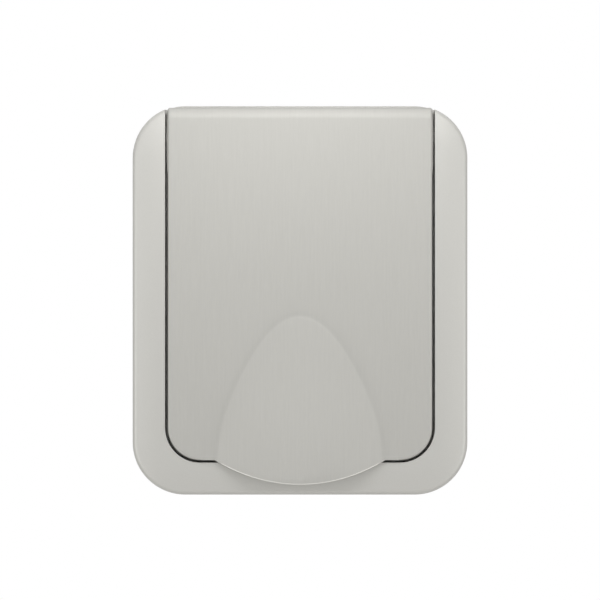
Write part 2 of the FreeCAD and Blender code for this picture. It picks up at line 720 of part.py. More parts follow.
def tongue_edge():
    """Outline of the window with the round tongue below the lid's bottom edge."""
    piece = Piece("lid_window")
    corners = [
        (f"-{WINDOW_SIDE}", LID_BOTTOM),
        (f"-{WINDOW_SIDE}", WINDOW_TOP),
        (WINDOW_SIDE, WINDOW_TOP),
        (WINDOW_SIDE, LID_BOTTOM),
        ("tongue_half", LID_BOTTOM, "tongue_radius"),
        ("-tongue_half", LID_BOTTOM),
    ]
    profile = piece.outline("XZ_Plane", f"{LID_INSIDE} - 4", corners)
    piece.pad(profile, "arch_height + lid_skin + 8")
    return piece.body


def make_seal_seat():
    """The raised ring on the lid's inside; its front follows the swollen skin."""
    seat = Piece("seal_seat_place")
    seat_rear = f"({LID_INSIDE} - lid_seat_depth)"
    outside = "recess_radius + recess_wall + lid_seat_band"
    seat.pad(seat.circles("XZ_Plane", seat_rear, [("0", "0", outside)]), "arch_height * 3")
    inside = [("0", "0", "recess_radius - lid_seat_band")]
    seat.pocket(seat.circles("XZ_Plane", f"{seat_rear} + arch_height * 3", inside), "arch_height * 3")
    deep = swept_back("seat_filling", arch_face(number("lid_skin / 2")), number("arch_height * 2.5"))
    return combine("Common", "seal_seat", deep, [seat.body])


def make_lid():
    window = block(
        "lid_window_cut", f"-{WINDOW_SIDE}", WINDOW_SIDE, f"{LID_FRONT} + 1", LID_INSIDE,
        f"{LID_BOTTOM} - 1", WINDOW_TOP,
    )
    opened = combine("Cut", "lid_opened", make_lid_shell(), [window])
    skin = swept_back("arch_skin", arch_face(0), number("lid_skin"))
    panel = combine("Common", "arch_panel", skin, [tongue_edge()])
    frame_room = block(
        "tongue_room", f"-{LID_SIDE}", LID_SIDE, "frame_front + tongue_gap", "0",
        f"{LID_BOTTOM} - tongue_reach * 2", LID_BOTTOM,
    )
    panel = combine("Cut", "arch_panel_clear", panel, [frame_room])
    filling = swept_back("arch_filling", arch_face(number("lid_skin / 2")), number("arch_height * 1.5"))
    sill = block(
        "arch_sill_place", f"-{WINDOW_SIDE}", WINDOW_SIDE, f"{LID_FRONT} + arch_height * 2",
        f"{LID_INSIDE} - lid_seat_depth", LID_BOTTOM, f"{LID_BOTTOM} + lid_skin",
    )
    sill = combine("Common", "arch_sill", filling, [sill])
    front = combine("Fuse", "arch_with_sill", panel, [sill])
    front = combine("Fuse", "arch_with_seat", front, [make_seal_seat()])
    return combine("Fuse", "lid", opened, [front])


LID = make_lid()


def make_lid_seal():
    """A soft ring on the lid that closes on the rim of the plug recess."""
    piece = Piece("lid_seal")
    foot = f"{LID_INSIDE} - lid_seat_depth"
    lip = f"({RIM} + lid_seal_gap)"
    piece.turn([
        ("recess_radius - lid_seal_foot", foot),
        ("recess_radius - lid_seal_lip - soft_round / 2", f"{lip} + soft_round"),
        ("recess_radius - lid_seal_lip + soft_round", lip),
        (f"{RECESS_OUTSIDE} + lid_seal_lip - soft_round", lip),
        (f"{RECESS_OUTSIDE} + lid_seal_lip + soft_round / 2", f"{lip} + soft_round"),
        (f"{RECESS_OUTSIDE} + lid_seal_foot", foot),
    ])
    return piece.body


# Hinge: one steel pin held in the frame's lugs, and a torsion spring beside each lug

def make_hinge_pin():
    piece = Piece("hinge_pin")
    rod = piece.circles("YZ_Plane", "0", [("-hinge_front", HINGE_UP, "pin_radius")])
    end = f"({LID_SIDE} + cheek_proud - pin_inset)"
    piece.pad(rod, f"{end} * 2", middle=True)
    piece.chamfer("pin_chamfer", lambda edge: at_side(edge, end))
    return piece.body


def straight_wire(start, stop, wire):
    """A straight stretch of six-sided wire."""
    way = stop - start
    along = Vector(way).normalize()
    side = along.cross(Vector(1, 0, 0))
    if side.Length < 0.1:
        side = along.cross(Vector(0, 0, 1))
    side.normalize()
    other = along.cross(side)
    corners = []
    for n in range(7):
        angle = math.radians(60 * n + 30)
        corners.append(start + side * (wire * math.cos(angle)) + other * (wire * math.sin(angle)))
    return Part.Face(Part.makePolygon(corners)).extrude(way)


def coil(radius, wire, pitch, turns):
    """A coil of six-sided wire about +Z that starts at (radius, 0, 0) and runs clockwise."""
    path = Part.Wire(Part.makeHelix(pitch, pitch * turns, radius, 0, True))
    corners = []
    for n in range(7):
        angle = math.radians(60 * n + 30)
        corners.append(Vector(radius + wire * math.cos(angle), 0, wire * math.sin(angle)))
    return path.makePipeShell([Part.makePolygon(corners)], True, True)


def make_lid_spring(name, side):
    """A torsion spring: one leg hooks behind the lug, the other presses into the lid's top."""
    radius, wire = number("spring_coil"), number("spring_wire")
    start = number(f"{LUG_INSIDE} - spring_gap - spring_wire")
    hook = (number("neck_rear + spring_wire + spring_touch"), -2 * radius)
    corner = "(lid_top_round - lid_skin)"
    into = number(f"({corner} - spring_wire - spring_touch) * cos(45)")
    push = (
        -number(f"{LID_INSIDE} - {corner} - hinge_front") - into,
        number(f"{LID_TOP} - lid_skin - {corner} - {HINGE_UP}") + into,
    )
    first = math.atan2(hook[1], hook[0]) + math.acos(radius / math.hypot(*hook))
    last = math.atan2(push[1], push[0]) - math.acos(radius / math.hypot(*push))
    turns = number("spring_turns") + (last - first) / (2 * math.pi)
    end = start - number("spring_pitch") * turns
    wound = coil(radius, wire, number("spring_pitch"), turns)
    wound.rotate(Vector(), Vector(0, 1, 0), -90)
    wound.rotate(Vector(), Vector(1, 0, 0), math.degrees(first) - 90)
    wound.translate(Vector(start, 0, 0))
    leaves = Vector(start, radius * math.cos(first), radius * math.sin(first))
    bend = Vector(start, *hook)
    arrives = Vector(end, radius * math.cos(last), radius * math.sin(last))
    legs = [
        straight_wire(leaves, bend, wire),
        straight_wire(bend - Vector(wire, 0, 0), bend + Vector(number("spring_hook"), 0, 0), wire),
        straight_wire(arrives, Vector(end, *push), wire),
    ]
    shape = wound.multiFuse(legs)
    if side < 0:
        shape = shape.mirror(Vector(), Vector(1, 0, 0))
    item = doc.addObject("Part::Feature", name)
    item.Shape = shape.Solids[0]
    hinge = Vector(0, -number("hinge_front"), number(HINGE_UP))
    item.Placement = FreeCAD.Placement(hinge, FreeCAD.Rotation())
    return item


# Centre plate: square flange, round plug recess with guide ribs, contact holes, windows for
# the earth clips and, behind its floor, the boss and wall that hold the shutter

HEAD_SEAT = f"({RECESS_FLOOR} - screw_sunk)"
SCREW_HOLE = "(screw_radius + screw_play)"
PINS = [("pin_spacing / 2", "0"), ("-pin_spacing / 2", "0")]


def make_centre_plate():
    piece = Piece("centre_plate")
    half = "(flange_width / 2)"
    flange = piece.outline("XZ_Plane", SEAL_FRONT, rounded(half, half, "flange_corner"))
    piece.pad(flange, "flange_thickness")
    opening = piece.circles("XZ_Plane", FLANGE_FRONT, [("0", "0", "recess_radius")])
    piece.pocket(opening, "flange_thickness")
    piece.turn([
        (SCREW_HOLE, HEAD_SEAT),
        ("screw_head + screw_play", HEAD_SEAT),
        ("screw_head + screw_play", RECESS_FLOOR),
        ("recess_radius", RECESS_FLOOR),
        ("recess_radius", RIM),
        (RECESS_OUTSIDE, RIM),
        (RECESS_OUTSIDE, FLOOR_REAR),
        ("boss_radius", FLOOR_REAR),
        ("boss_radius", COVER_REAR),
        (SCREW_HOLE, COVER_REAR),
    ])
    piece.chamfer("rim_bevel", lambda edge: lies_at(edge, f=RIM))
    piece.chamfer("rim_bevel", is_flange_edge)
    wall = [("0", "0", "cover_radius"), ("0", "0", "cover_radius - skirt_thickness")]
    piece.pad(piece.circles("XZ_Plane", COVER_FRONT, wall), f"{FLOOR_REAR} - {COVER_FRONT}")
    near, far = "(recess_radius - guide_height)", f"({RECESS_OUTSIDE} - recess_wall / 2)"
    for left, right in ((near, far), (f"-{far}", f"-{near}")):
        guide = rectangle(left, right, "-guide_width / 2", "guide_width / 2")
        piece.pad(piece.outline("XZ_Plane", RECESS_FLOOR, guide), "recess_depth - guide_short")
    holes = [(across, up, "contact_hole") for across, up in PINS]
    piece.pocket(piece.circles("XZ_Plane", RECESS_FLOOR, holes), "floor_thickness")
    piece.chamfer("contact_lead", is_contact_edge)
    window = rectangle(
        "-window_width / 2", "window_width / 2",
        f"-({SEAL_FRONT} - seal_thickness / 3)", f"-({RECESS_FLOOR} + seal_thickness / 2)",
    )
    piece.pocket(piece.outline("XY_Plane", "0", window), f"({RECESS_OUTSIDE} + 1) * 2", middle=True)
    return piece.body


def is_flange_edge(edge):
    """True for the outer front edges of the flange."""
    return lies_at(edge, f=FLANGE_FRONT) and edge.BoundBox.Center.Length > number(RECESS_OUTSIDE)


def is_contact_edge(edge):
    """True for the front edge of a contact hole."""
    if not isinstance(edge.Curve, Part.Circle):
        return False
    return abs(edge.Curve.Radius - number("contact_hole")) < 0.01 and lies_at(edge, f=RECESS_FLOOR)


def make_plate_seal():
    piece = Piece("plate_seal")
    half = "(flange_width / 2 - seal_inset)"
    corner = "(flange_corner - seal_inset)"
    band = rounded(half, half, corner)
    piece.pad(piece.outline("XZ_Plane", "tray_front", band), "seal_thickness")
    inner = f"({half} - seal_band)"
    opening = rounded(inner, inner, f"({corner} - seal_band)")
    piece.pocket(piece.outline("XZ_Plane", SEAL_FRONT, opening), "seal_thickness")
    return piece.body


def make_centre_screw():
    """Flat-headed screw with a cross slot."""
    piece = Piece("centre_screw")
    head_front = f"({RECESS_FLOOR} - screw_play)"
    end = f"{HEAD_SEAT} - screw_length"
    piece.turn([
        ("0", head_front),
        ("screw_head", head_front),
        ("screw_head", HEAD_SEAT),
        ("screw_radius", HEAD_SEAT),
        ("screw_radius", f"{end} + screw_radius / 2"),
        ("screw_radius / 2", end),
        ("0", end),
    ])
    reach, half = "screw_slot_length", "screw_slot_width"
    for across, up in ((reach, half), (half, reach)):
        slot = rectangle(f"-{across}", across, f"-{up}", up)
        piece.pocket(piece.outline("XZ_Plane", head_front, slot), "screw_slot_depth")
    return piece.body


# Shutter: a disc that turns on the boss behind the recess floor. Closed, its two windows stand
# beside the contact holes; a small coil spring turns it back.

def make_shutter():
    piece = Piece("shutter")
    disc = [("0", "0", "shutter_radius")]
    piece.pad(piece.circles("XZ_Plane", SHUTTER_REAR, disc), "shutter_thickness")
    bore = [("0", "0", "boss_radius + shutter_play")]
    piece.pocket(piece.circles("XZ_Plane", SHUTTER_FRONT, bore), "shutter_thickness")
    across = "(pin_spacing / 2 * cos(shutter_turn))"
    up = "(pin_spacing / 2 * sin(shutter_turn))"
    windows = [(across, up, "shutter_window"), (f"-{across}", f"-{up}", "shutter_window")]
    piece.pocket(piece.circles("XZ_Plane", SHUTTER_FRONT, windows), "shutter_thickness")
    piece.chamfer(
        "shutter_lead",
        lambda edge: lies_at(edge, f=SHUTTER_FRONT) and abs(edge.BoundBox.Center.x) > 2,
    )
    room = piece.circles("XZ_Plane", SHUTTER_REAR, [("0", "0", "boss_radius + shutter_room")])
    piece.pocket(room, "shutter_room_depth", back=True)
    return piece.body


def make_shutter_spring():
    radius, wire = number("boss_radius + shutter_coil"), number("shutter_wire")
    item = doc.addObject("Part::Feature", "shutter_spring")
    item.Shape = coil(radius, wire, number("shutter_pitch"), number("shutter_turns"))
    rear = -number(f"{COVER_FRONT} + shutter_wire + spring_touch")
    item.Placement = FreeCAD.Placement(Vector(0, rear, 0), FreeCAD.Rotation(Vector(1, 0, 0), 90))
    return item


def make_shutter_cover():
    piece = Piece("shutter_cover")
    disc = [("0", "0", "cover_radius")]
    piece.pad(piece.circles("XZ_Plane", COVER_REAR, disc), "cover_thickness")
    holes = [(across, up, "contact_hole + cover_hole_play") for across, up in PINS]
    holes.append(("0", "0", "boss_radius + shutter_play"))
    piece.pocket(piece.circles("XZ_Plane", COVER_FRONT, holes), "cover_thickness")
    return piece.body


# Support ring: galvanised steel plate that the box screws hold to the wall box

RIVET_SIDES = ("rivet_place", "-rivet_place")
RIVETS = [(across, up) for across in RIVET_SIDES for up in RIVET_SIDES]
SLOT_MIDDLES = ("slot_spacing / 2", "-slot_spacing / 2")


def make_support_ring():
    piece = Piece("support_ring")
    half = "(ring_width / 2)"
    sheet_outline = rounded(half, half, "ring_corner")
    piece.pad(piece.outline("XZ_Plane", "0", sheet_outline), "ring_thickness")
    straight = "(slot_length / 2 - slot_half_width)"
    holes = [(across, up, "rivet_radius + rivet_play") for across, up in RIVETS]
    holes.append(("0", "0", CUP_INSIDE))
    for middle in SLOT_MIDDLES:
        holes.append(("0", middle, "slot_half_width"))
        holes.append((f"{middle} - {straight}", "0", "slot_half_width"))
    piece.pocket(piece.circles("XZ_Plane", "ring_thickness", holes), "ring_thickness")
    ends = [(f"{middle} + {straight}", "0", "slot_half_width") for middle in SLOT_MIDDLES]
    piece.pocket(piece.circles("XZ_Plane", "ring_thickness", ends), "ring_thickness")
    for middle in SLOT_MIDDLES:
        left, right = f"{middle} - {straight}", f"{middle} + {straight}"
        slot = rectangle(left, right, "-slot_half_width", "slot_half_width")
        piece.pocket(piece.outline("XZ_Plane", "ring_thickness", slot), "ring_thickness")
    return piece.body


# Contact base: round cup behind the support ring and a block with three contact chambers

CLAMP_FRONT = f"({DECK_REAR} - clamp_play)"
CLAMP_REAR = f"({CLAMP_FRONT} - clamp_depth)"
CLAMPS = {
    "line_clamp": ("clamp_across", "clamp_up"),
    "neutral_clamp": ("-clamp_across", "clamp_up"),
    "earth_clamp": ("0", "-clamp_up"),
}
SLEEVE_SPACE = "(sleeve_radius + sleeve_room)"
CLAMP_SIDE = "(clamp_width / 2 + clamp_play)"
CLAMP_TALL = "(clamp_height / 2 + clamp_play)"


def contact_chamber():
    """Outline of the right-hand chamber: a bay for the sleeve and one for the clamp."""
    pin = "(pin_spacing / 2)"
    return [
        (f"{pin} - {SLEEVE_SPACE}", f"-{SLEEVE_SPACE}"),
        (f"{pin} - {SLEEVE_SPACE}", SLEEVE_SPACE),
        (f"clamp_across - {CLAMP_SIDE}", f"clamp_up - {CLAMP_TALL}"),
        (f"clamp_across - {CLAMP_SIDE}", f"clamp_up + {CLAMP_TALL}"),
        (f"clamp_across + {CLAMP_SIDE}", f"clamp_up + {CLAMP_TALL}"),
        (f"clamp_across + {CLAMP_SIDE}", f"clamp_up - {CLAMP_TALL}"),
        (f"{pin} + {SLEEVE_SPACE}", SLEEVE_SPACE),
        (f"{pin} + {SLEEVE_SPACE}", f"-{SLEEVE_SPACE}"),
    ]


def make_contact_base():
    piece = Piece("contact_base")
    outside = rounded("(base_width / 2)", "(base_height / 2)", "base_corner")
    piece.pad(piece.outline("XZ_Plane", BASE_REAR, outside), f"{DECK} - {BASE_REAR}")
    piece.pad(piece.circles("XZ_Plane", DECK_REAR, [("0", "0", CUP_OUTSIDE)]), f"-{DECK_REAR}")
    for across, up in RIVETS:
        post = piece.circles("XZ_Plane", DECK_REAR, [(across, up, "rivet_radius + rivet_wall")])
        piece.pad(post, f"-{DECK_REAR}")
    piece.pocket(piece.circles("XZ_Plane", "0", [("0", "0", CUP_INSIDE)]), f"-{DECK}")
    rivets = [(across, up, "rivet_radius + rivet_play") for across, up in RIVETS]
    piece.pocket(piece.circles("XZ_Plane", "0", rivets), "rivet_length + 0.2")
    for corners in (contact_chamber(), mirrored(contact_chamber())):
        chamber = piece.outline("XZ_Plane", BASE_REAR, corners)
        piece.pocket(chamber, f"{DECK_REAR} - {BASE_REAR}", back=True)
    tab_side = f"(clamp_up - {CLAMP_TALL} - strap_thickness - clamp_play / 2)"
    earth = rectangle(f"-{CLAMP_SIDE}", CLAMP_SIDE, f"-(clamp_up + {CLAMP_TALL})", f"-{tab_side}")
    piece.pocket(piece.outline("XZ_Plane", BASE_REAR, earth), f"{DECK_REAR} - {BASE_REAR}", back=True)
    holes = [(across, up, "sleeve_radius") for across, up in PINS]
    holes += [(across, up, "terminal_head + terminal_gap") for across, up in CLAMPS.values()]
    piece.pocket(piece.circles("XZ_Plane", DECK, holes), "deck_thickness")
    tab = "(tab_half_width + terminal_gap)"
    slot = rectangle(f"-{tab}", tab, f"-(clamp_up - {CLAMP_TALL} + clamp_play * 1.5)", f"-{tab_side}")
    piece.pocket(piece.outline("XZ_Plane", DECK, slot), "deck_thickness")
    thread = piece.circles("XZ_Plane", DECK, [("0", "0", "screw_radius + rivet_play")])
    piece.pocket(thread, f"{DECK} - {HEAD_SEAT} + screw_length + 0.5")
    wire_depth = f"-({CLAMP_FRONT} + {CLAMP_REAR}) / 2"
    for name, (across, up) in CLAMPS.items():
        entry = [(across, wire_depth, "wire_radius + entry_play")]
        wall = f"base_height / 2 - clamp_up - {CLAMP_TALL} + 1"
        if name == "earth_clamp":
            low = piece.circles("XY_Plane", "-base_height / 2 - entry_play", entry)
            piece.pocket(low, wall, back=True)
        else:
            high = piece.circles("XY_Plane", "base_height / 2 + entry_play", entry)
            piece.pocket(high, wall)
    return piece.body


def make_rear_cover():
    piece = Piece("rear_cover")
    outside = rounded("(base_width / 2)", "(base_height / 2)", "base_corner")
    rear = f"({BASE_REAR} - rear_cover_thickness)"
    piece.pad(piece.outline("XZ_Plane", rear, outside), "rear_cover_thickness")
    piece.chamfer("rim_bevel", lambda edge: lies_at(edge, f=rear))
    return piece.body


def make_contact(name, side):
    """A brass strip with the split sleeve for the plug's pin."""
    piece = Piece(name)
    pin = "(pin_spacing / 2)"
    left = "(clamp_across - clamp_width / 2 + terminal_gap)"
    right = "(clamp_across + clamp_width / 2 - terminal_gap)"
    low, high = "(clamp_up - clamp_height / 2)", "(clamp_up + clamp_height / 2 - terminal_gap)"
    strip = [
        (f"{pin} - sleeve_radius", "-sleeve_radius"),
        (f"{pin} - sleeve_radius", "sleeve_radius"),
        (left, low),
        (left, high),
        (right, high),
        (right, low),
        (f"{pin} + sleeve_radius", "sleeve_radius"),
        (f"{pin} + sleeve_radius", "-sleeve_radius"),
    ]
    if side < 0:
        strip = mirrored(strip)
    across = pin if side > 0 else f"-{pin}"
    foot = piece.outline("XZ_Plane", f"{CLAMP_REAR} - strap_thickness", strip)
    piece.pad(foot, "strap_thickness")
    sleeve = piece.circles("XZ_Plane", CLAMP_REAR, [(across, "0", "sleeve_radius")])
    piece.pad(sleeve, "clamp_depth")
    bore = piece.circles("XZ_Plane", CLAMP_FRONT, [(across, "0", "sleeve_bore")])
    piece.pocket(bore, "clamp_depth + strap_thickness")
    split = rectangle(
        f"{across} - slot_split", f"{across} + slot_split", "-sleeve_radius * 1.3", "sleeve_radius * 1.3"
    )
    piece.pocket(piece.outline("XZ_Plane", CLAMP_FRONT, split), "clamp_depth * 0.8")
    return piece.body


def make_earth_strap():
    """A bar across the base, a clip at each end that reaches into the recess, and a tab."""
    piece = Piece("earth_strap")
    bar = rectangle("-strap_width / 2", "strap_width / 2", f"-{CLIP_OUTSIDE}", CLIP_OUTSIDE)
    piece.pad(piece.outline("XZ_Plane", DECK, bar), "strap_thickness")
    piece.pocket(piece.circles("XZ_Plane", COVER_REAR, [("0", "0", SCREW_HOLE)]), "strap_thickness")
    nose = "(recess_radius - clip_reach)"
    nose_front = f"({RIM} - 8.5)"
    bend_front = f"({nose_front} - 4)"
    tip_front = f"({SEAL_FRONT} - 0.9)"
    tip = f"({RECESS_OUTSIDE} - 0.9)"
    clip = [
        (f"-{DECK}", CLIP_OUTSIDE),
        (f"-{DECK}", CLIP_INSIDE),
        (f"-{bend_front} - 0.2", CLIP_INSIDE),
        (f"-{nose_front}", nose),
        (f"-{tip_front} - 0.1", f"{tip} - 0.1"),
        (f"-{tip_front}", f"{tip} + strap_thickness * 0.9"),
        (f"-{nose_front}", f"{nose} + strap_thickness * 1.3"),
        (f"-{bend_front} + 0.2", CLIP_OUTSIDE),
    ]
    piece.pad(piece.outline("YZ_Plane", "0", clip), "clip_width", middle=True)
    lower = [(depth, f"-({up})") for depth, up in clip]
    piece.pad(piece.outline("YZ_Plane", "0", lower), "clip_width", middle=True)
    piece.fillet("soft_round", lambda edge: lies_at(edge, f=nose_front))
    tab_low = "-(clamp_up - clamp_height / 2 - spring_touch)"
    tab_top = f"{tab_low} + strap_thickness"
    tab_end = "-(clamp_up + clamp_height / 2 - terminal_gap)"
    foot_rear = f"-({CLAMP_REAR} - strap_thickness)"
    tab = [
        (f"-{DECK} - 0.1", tab_top),
        (foot_rear, tab_top),
        (foot_rear, tab_end),
        (f"-{CLAMP_REAR}", tab_end),
        (f"-{CLAMP_REAR}", tab_low),
        (f"-{DECK} - 0.1", tab_low),
    ]
    piece.pad(piece.outline("YZ_Plane", "0", tab), "tab_half_width * 2", middle=True)
    return piece.body


# Terminals: brass clamp blocks with a wire hole, each with a slotted screw

def make_clamp(name, across, up):
    piece = Piece(name)
    side = rectangle(
        f"{across} - clamp_width / 2", f"{across} + clamp_width / 2",
        f"{up} - clamp_height / 2", f"{up} + clamp_height / 2",
    )
    piece.pad(piece.outline("XZ_Plane", CLAMP_REAR, side), "clamp_depth")
    wire = [(across, f"-({CLAMP_FRONT} + {CLAMP_REAR}) / 2", "wire_radius")]
    piece.pocket(piece.circles("XY_Plane", f"{up} + clamp_height / 2", wire), "clamp_height")
    thread = [(across, up, "terminal_radius")]
    piece.pocket(piece.circles("XZ_Plane", CLAMP_FRONT, thread), "clamp_depth / 2")
    piece.chamfer("soft_round", runs_deep)
    return piece.body


def rod(name, radius, front, rear, across, up):
    """A plain cylinder along Y."""
    item = doc.addObject("Part::Cylinder", name)
    item.Placement = FreeCAD.Placement(Vector(), FreeCAD.Rotation(Vector(1, 0, 0), -90))
    bind(item, {
        "Radius": radius,
        "Height": f"({front}) - ({rear})",
        ".Placement.Base.x": across,
        ".Placement.Base.y": f"-({front})",
        ".Placement.Base.z": up,
    })
    return item


def group(name, items):
    """Several like solids as one piece."""
    item = doc.addObject("Part::Compound", name)
    item.Links = items
    doc.recompute()
    return item


def make_terminal_screws():
    screws = []
    head_front = f"({DECK} - terminal_gap)"
    head_rear = f"({DECK_REAR} + terminal_gap)"
    end = f"(({CLAMP_FRONT} + {CLAMP_REAR}) / 2 + wire_radius * 0.3)"
    reach, half = "terminal_head * 1.2", "terminal_slot"
    for order, (across, up) in enumerate(CLAMPS.values(), 1):
        head = rod(f"screw_head_{order}", "terminal_head", head_front, head_rear, across, up)
        shank = rod(f"screw_shank_{order}", "terminal_radius", head_rear, end, across, up)
        body = combine("Fuse", f"screw_body_{order}", head, [shank])
        slot = block(
            f"screw_slot_{order}", f"{across} - {reach}", f"{across} + {reach}",
            f"{head_front} + 1", f"{head_front} - screw_slot_depth", f"{up} - {half}", f"{up} + {half}",
        )
        screws.append(combine("Cut", f"terminal_screw_{order}", body, [slot]))
    return group("terminal_screws", screws)


def make_base_rivets():
    rivets = []
    top = "ring_thickness + rivet_head_height"
    for order, (across, up) in enumerate(RIVETS, 1):
        head = rod(f"rivet_head_{order}", "rivet_radius + rivet_head", top, "ring_thickness", across, up)
        shank = rod(f"rivet_shank_{order}", "rivet_radius", "ring_thickness", "-rivet_length", across, up)
        rivets.append(combine("Fuse", f"base_rivet_{order}", head, [shank]))
    return group("base_rivets", rivets)


NODES = [
    GASKET,
    FRAME,
    LID,
    make_lid_seal(),
    make_hinge_pin(),
    make_lid_spring("lid_spring_right", 1),
    make_lid_spring("lid_spring_left", -1),
    make_centre_plate(),
    make_plate_seal(),
    make_centre_screw(),
    make_shutter(),
    make_shutter_spring(),
    make_shutter_cover(),
    make_support_ring(),
    make_contact_base(),
    make_rear_cover(),
    make_contact("line_contact", 1),
    make_contact("neutral_contact", -1),
    make_earth_strap(),
    make_terminal_screws(),
    make_base_rivets(),
]
for clamp_name, (clamp_x, clamp_z) in CLAMPS.items():
    NODES.append(make_clamp(clamp_name, clamp_x, clamp_z))

failed = [item.Label for item in doc.Objects if "Invalid" in item.State or "Error" in item.State]
if failed:
    raise RuntimeError(f"these features could not be made: {failed}")
os.makedirs("parts", exist_ok=True)
for node in NODES:
    shape = node.Shape
    if shape.isNull() or not shape.isValid():
        raise RuntimeError(f"{node.Label} has no valid shape")
    print(node.Label, len(shape.Solids), round(shape.Volume, 1))
for node in NODES:
    node.Shape.exportStep(f"parts/{node.Label}.step")
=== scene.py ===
import math

import bmesh
import bpy
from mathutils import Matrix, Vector


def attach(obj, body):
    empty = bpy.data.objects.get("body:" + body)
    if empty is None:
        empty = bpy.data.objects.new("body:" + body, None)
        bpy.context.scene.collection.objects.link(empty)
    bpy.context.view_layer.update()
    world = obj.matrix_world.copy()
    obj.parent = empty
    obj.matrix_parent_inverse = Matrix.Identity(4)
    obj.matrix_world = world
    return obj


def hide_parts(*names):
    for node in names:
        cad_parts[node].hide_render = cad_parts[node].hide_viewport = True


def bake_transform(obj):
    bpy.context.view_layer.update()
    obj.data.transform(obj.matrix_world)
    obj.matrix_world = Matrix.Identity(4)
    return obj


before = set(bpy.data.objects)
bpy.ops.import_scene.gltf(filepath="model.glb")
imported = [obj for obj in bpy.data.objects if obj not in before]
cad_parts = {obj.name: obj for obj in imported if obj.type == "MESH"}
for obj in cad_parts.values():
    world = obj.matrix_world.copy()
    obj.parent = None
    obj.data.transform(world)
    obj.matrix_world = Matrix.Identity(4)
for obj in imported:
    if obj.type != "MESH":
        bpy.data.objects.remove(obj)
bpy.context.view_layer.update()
MM = 0.001


# The studio: a pale floor well below the socket, a white surround and four soft lamps.
# The camera looks straight at the socket's front from far away, as a long lens does.

def linear(code):
    """Linear colour, with alpha, of an sRGB hex code."""
    parts = [int(code[i:i + 2], 16) / 255 for i in (1, 3, 5)]
    return [c / 12.92 if c <= 0.04045 else ((c + 0.055) / 1.055) ** 2.4 for c in parts] + [1.0]


def add_node(tree, kind, settings=None, links=None):
    """A node with its attributes or unlinked sockets set, and sockets linked from others."""
    node = tree.nodes.new(kind)
    for name, value in (settings or {}).items():
        if isinstance(name, str) and hasattr(node, name):
            setattr(node, name, value)
        else:
            node.inputs[name].default_value = value
    for name, (source, output) in (links or {}).items():
        tree.links.new(source.outputs[output], node.inputs[name])
    return node


def blank_material(name):
    """A material with an empty node tree."""
    material = bpy.data.materials.new(name)
    material.use_nodes = True
    material.node_tree.nodes.clear()
    return material, material.node_tree


def shown_to_the_eye(tree, low, high):
    """The high level for what the camera, mirrors and glass show, and the low one for light."""
    rays = add_node(tree, "ShaderNodeLightPath")
    direct = add_node(
        tree, "ShaderNodeMath", {"operation": "MAXIMUM"},
        {0: (rays, "Is Camera Ray"), 1: (rays, "Is Glossy Ray")},
    )
    clear = add_node(
        tree, "ShaderNodeMath", {"operation": "MAXIMUM"},
        {0: (direct, 0), 1: (rays, "Is Transmission Ray")},
    )
    return add_node(tree, "ShaderNodeMapRange", {"To Min": low, "To Max": high}, {"Value": (clear, 0)})


FLOOR_LEVEL = -0.135
FLOOR_HALF = 0.72
PAPER_GLOW = 0.6
floor_mesh = bmesh.new()
bmesh.ops.create_grid(floor_mesh, x_segments=1, y_segments=1, size=FLOOR_HALF)
bmesh.ops.translate(floor_mesh, verts=floor_mesh.verts, vec=(0, 0, FLOOR_LEVEL))
floor_data = bpy.data.meshes.new("floor")
floor_mesh.to_mesh(floor_data)
floor_mesh.free()
floor = bpy.data.objects.new("floor", floor_data)
bpy.context.collection.objects.link(floor)
paper, tree = blank_material("matt white paper")
shown = shown_to_the_eye(tree, 0.0, PAPER_GLOW)
shader = add_node(
    tree, "ShaderNodeBsdfPrincipled",
    {"Base Color": linear("#f4f3f1"), "Roughness": 0.9, "Emission Color": (1, 1, 1, 1)},
    {"Emission Strength": (shown, "Result")},
)
add_node(tree, "ShaderNodeOutputMaterial", links={"Surface": (shader, "BSDF")})
floor_data.materials.append(paper)

SURROUND_LEVEL = 0.26
world = bpy.data.worlds.new("studio")
bpy.context.scene.world = world
world.use_nodes = True
tree = world.node_tree
tree.nodes.clear()
glow = shown_to_the_eye(tree, SURROUND_LEVEL, 1.0)
white = add_node(
    tree, "ShaderNodeBackground", {"Color": (1, 1, 1, 1)}, {"Strength": (glow, "Result")}
)
add_node(tree, "ShaderNodeOutputWorld", links={"Surface": (white, "Background")})

# Each square lamp: name, place, the point it is turned to, size and power, in metres and watts
LAMPS = (
    ("key", (0, -0.14, 0.12), (0, 0, 0), 0.12, 0.145),
    ("top", (0, -0.02, 0.24), (0, 0, 0.05), 0.10, 0.08),
    ("left fill", (-0.24, -0.20, -0.05), (0, 0, 0), 0.20, 0.185),
    ("right fill", (0.24, -0.20, -0.05), (0, 0, 0), 0.20, 0.185),
)
for name, stand, aim, size, power in LAMPS:
    lamp = bpy.data.lights.new(name, "AREA")
    lamp.size = size
    lamp.energy = power
    holder = bpy.data.objects.new(name, lamp)
    holder.location = stand
    holder.rotation_euler = (Vector(aim) - Vector(stand)).to_track_quat("-Z", "Y").to_euler()
    bpy.context.collection.objects.link(holder)

# The picture is 154 mm wide at the frame's rounded front edge, 14.5 mm out of the wall
CAMERA_DISTANCE = 1.6
PICTURE_WIDTH = 0.15402
FRAME_EDGE = 0.0145
SENSOR_WIDTH = 36.0
camera_data = bpy.data.cameras.new("camera")
camera_data.sensor_width = SENSOR_WIDTH
camera_data.lens = SENSOR_WIDTH * (CAMERA_DISTANCE - FRAME_EDGE) / PICTURE_WIDTH
camera = bpy.data.objects.new("camera", camera_data)
camera.location = (0, -CAMERA_DISTANCE, 0)
camera.rotation_euler = (math.radians(90), 0, 0)
bpy.context.collection.objects.link(camera)
bpy.context.scene.camera = camera
bpy.context.scene.view_settings.view_transform = "Standard"


